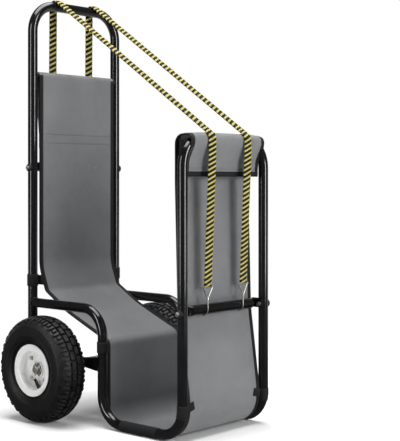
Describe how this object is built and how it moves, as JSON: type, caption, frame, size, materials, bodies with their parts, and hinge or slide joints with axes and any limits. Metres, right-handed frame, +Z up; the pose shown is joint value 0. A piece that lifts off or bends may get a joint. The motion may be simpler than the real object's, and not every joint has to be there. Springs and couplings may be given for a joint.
{
  "type": "fireside log cart",
  "caption": "Two-wheeled tubular steel cart that carries and stores fireside logs in a hanging cloth sling, held by elastic straps hooked over the load",
  "frame": {"origin": "On the floor under the middle of the cart's bounding box", "axes": "+Z up, -Y the front with the strap hooks and the cloth flap, +Y the back with the handle and wheels, X along the axle"},
  "size_m": [0.493, 0.5647, 1.0628],
  "materials": {
    "frame_paint": "satin black powder coat on steel tube",
    "rim_paint": "semi-gloss off-white stove enamel on pressed steel",
    "zinc_plate": "bright zinc plate",
    "bearing_steel": "ground bearing steel",
    "tyre_rubber": "matt black moulded tyre rubber",
    "tube_rubber": "smooth black butyl rubber",
    "black_plastic": "moulded black plastic",
    "grey_cloth": "grey woven polyester with a coated back",
    "black_webbing": "black woven polypropylene webbing",
    "striped_elastic": "olive-yellow woven elastic webbing with black diagonal stripes"
  },
  "bodies": {
    "frame": {"handle_hoop": "frame_paint", "rear_post_left": "frame_paint", "rear_post_right": "frame_paint", "post_plugs": "black_plastic", "side_rail_left": "frame_paint", "side_rail_right": "frame_paint", "lower_brace_left": "frame_paint", "lower_brace_right": "frame_paint", "axle_tube": "frame_paint", "front_hoop": "frame_paint", "front_cross_bar": "frame_paint", "rear_cross_bar": "frame_paint", "sling_bar": "frame_paint", "joint_bolts": "zinc_plate", "joint_nuts": "zinc_plate", "domed_washers": "black_plastic", "axle": "zinc_plate", "axle_washers": "zinc_plate", "cotter_pins": "zinc_plate", "sling": "grey_cloth", "sling_binding": "black_webbing", "post_tabs": "black_webbing", "step_tabs": "black_webbing", "front_tabs": "black_webbing", "runner_wraps": "black_webbing", "elastic_strap_left": "striped_elastic", "elastic_strap_right": "striped_elastic", "front_hooks": "zinc_plate", "rear_hooks": "zinc_plate"},
    "wheel_left": {"tyre_left": "tyre_rubber", "inner_tube_left": "tube_rubber", "rim_outer_left": "rim_paint", "rim_inner_left": "rim_paint", "hub_left": "rim_paint", "bearings_left": "bearing_steel", "rim_bolts_left": "zinc_plate", "rim_nuts_left": "zinc_plate", "valve_stem_left": "tube_rubber", "valve_cap_left": "black_plastic"},
    "wheel_right": {"tyre_right": "tyre_rubber", "inner_tube_right": "tube_rubber", "rim_outer_right": "rim_paint", "rim_inner_right": "rim_paint", "hub_right": "rim_paint", "bearings_right": "bearing_steel", "rim_bolts_right": "zinc_plate", "rim_nuts_right": "zinc_plate", "valve_stem_right": "tube_rubber", "valve_cap_right": "black_plastic"}
  },
  "joints": [
    {"name": "wheel_left_spin", "type": "hinge", "parent": "frame", "child": "wheel_left", "pos_m": [-0.204, 0.1524, 0.13], "axis": [1, 0, 0], "continuous": true},
    {"name": "wheel_right_spin", "type": "hinge", "parent": "frame", "child": "wheel_right", "pos_m": [0.204, 0.1524, 0.13], "axis": [1, 0, 0], "continuous": true}
  ]
}
